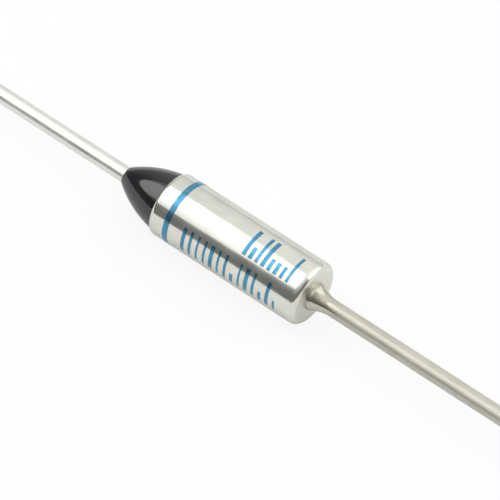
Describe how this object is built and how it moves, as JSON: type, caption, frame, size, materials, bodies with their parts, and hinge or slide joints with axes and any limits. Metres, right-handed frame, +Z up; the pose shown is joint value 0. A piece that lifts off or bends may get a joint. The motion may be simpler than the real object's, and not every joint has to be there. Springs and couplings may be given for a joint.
{
  "type": "thermal fuse",
  "caption": "Axial pellet-type thermal fuse: a round tinned metal case with a black pointed seal at one end and a straight wire lead at each end, opens a circuit once when it overheats.",
  "frame": {"origin": "on the fuse axis at the middle of the case, between its mouth and its closed end", "axes": "+X along the fuse axis, towards the case lead; -X towards the seal and the isolated lead; +Z up"},
  "size_m": [0.0637, 0.004, 0.004],
  "materials": {
    "tinned_case": "bright tin plate",
    "dull_tinned_wire": "dull tin plate",
    "bright_tinned_wire": "bright silver plate",
    "pellet": "pressed powder",
    "brass_disc": "punched",
    "spring_steel": "drawn wire",
    "silvered_contact": "silver plate",
    "white_ceramic": "unglazed",
    "black_epoxy": "cast gloss"
  },
  "bodies": {
    "root": {"case": "tinned_case", "case_lead": "dull_tinned_wire", "thermal_pellet": "pellet", "pellet_disc": "brass_disc", "main_spring": "spring_steel", "contact_disc": "brass_disc", "star_contact": "silvered_contact", "trip_spring": "spring_steel", "ceramic_bushing": "white_ceramic", "isolated_lead": "bright_tinned_wire", "epoxy_seal": "black_epoxy"}
  },
  "joints": []
}
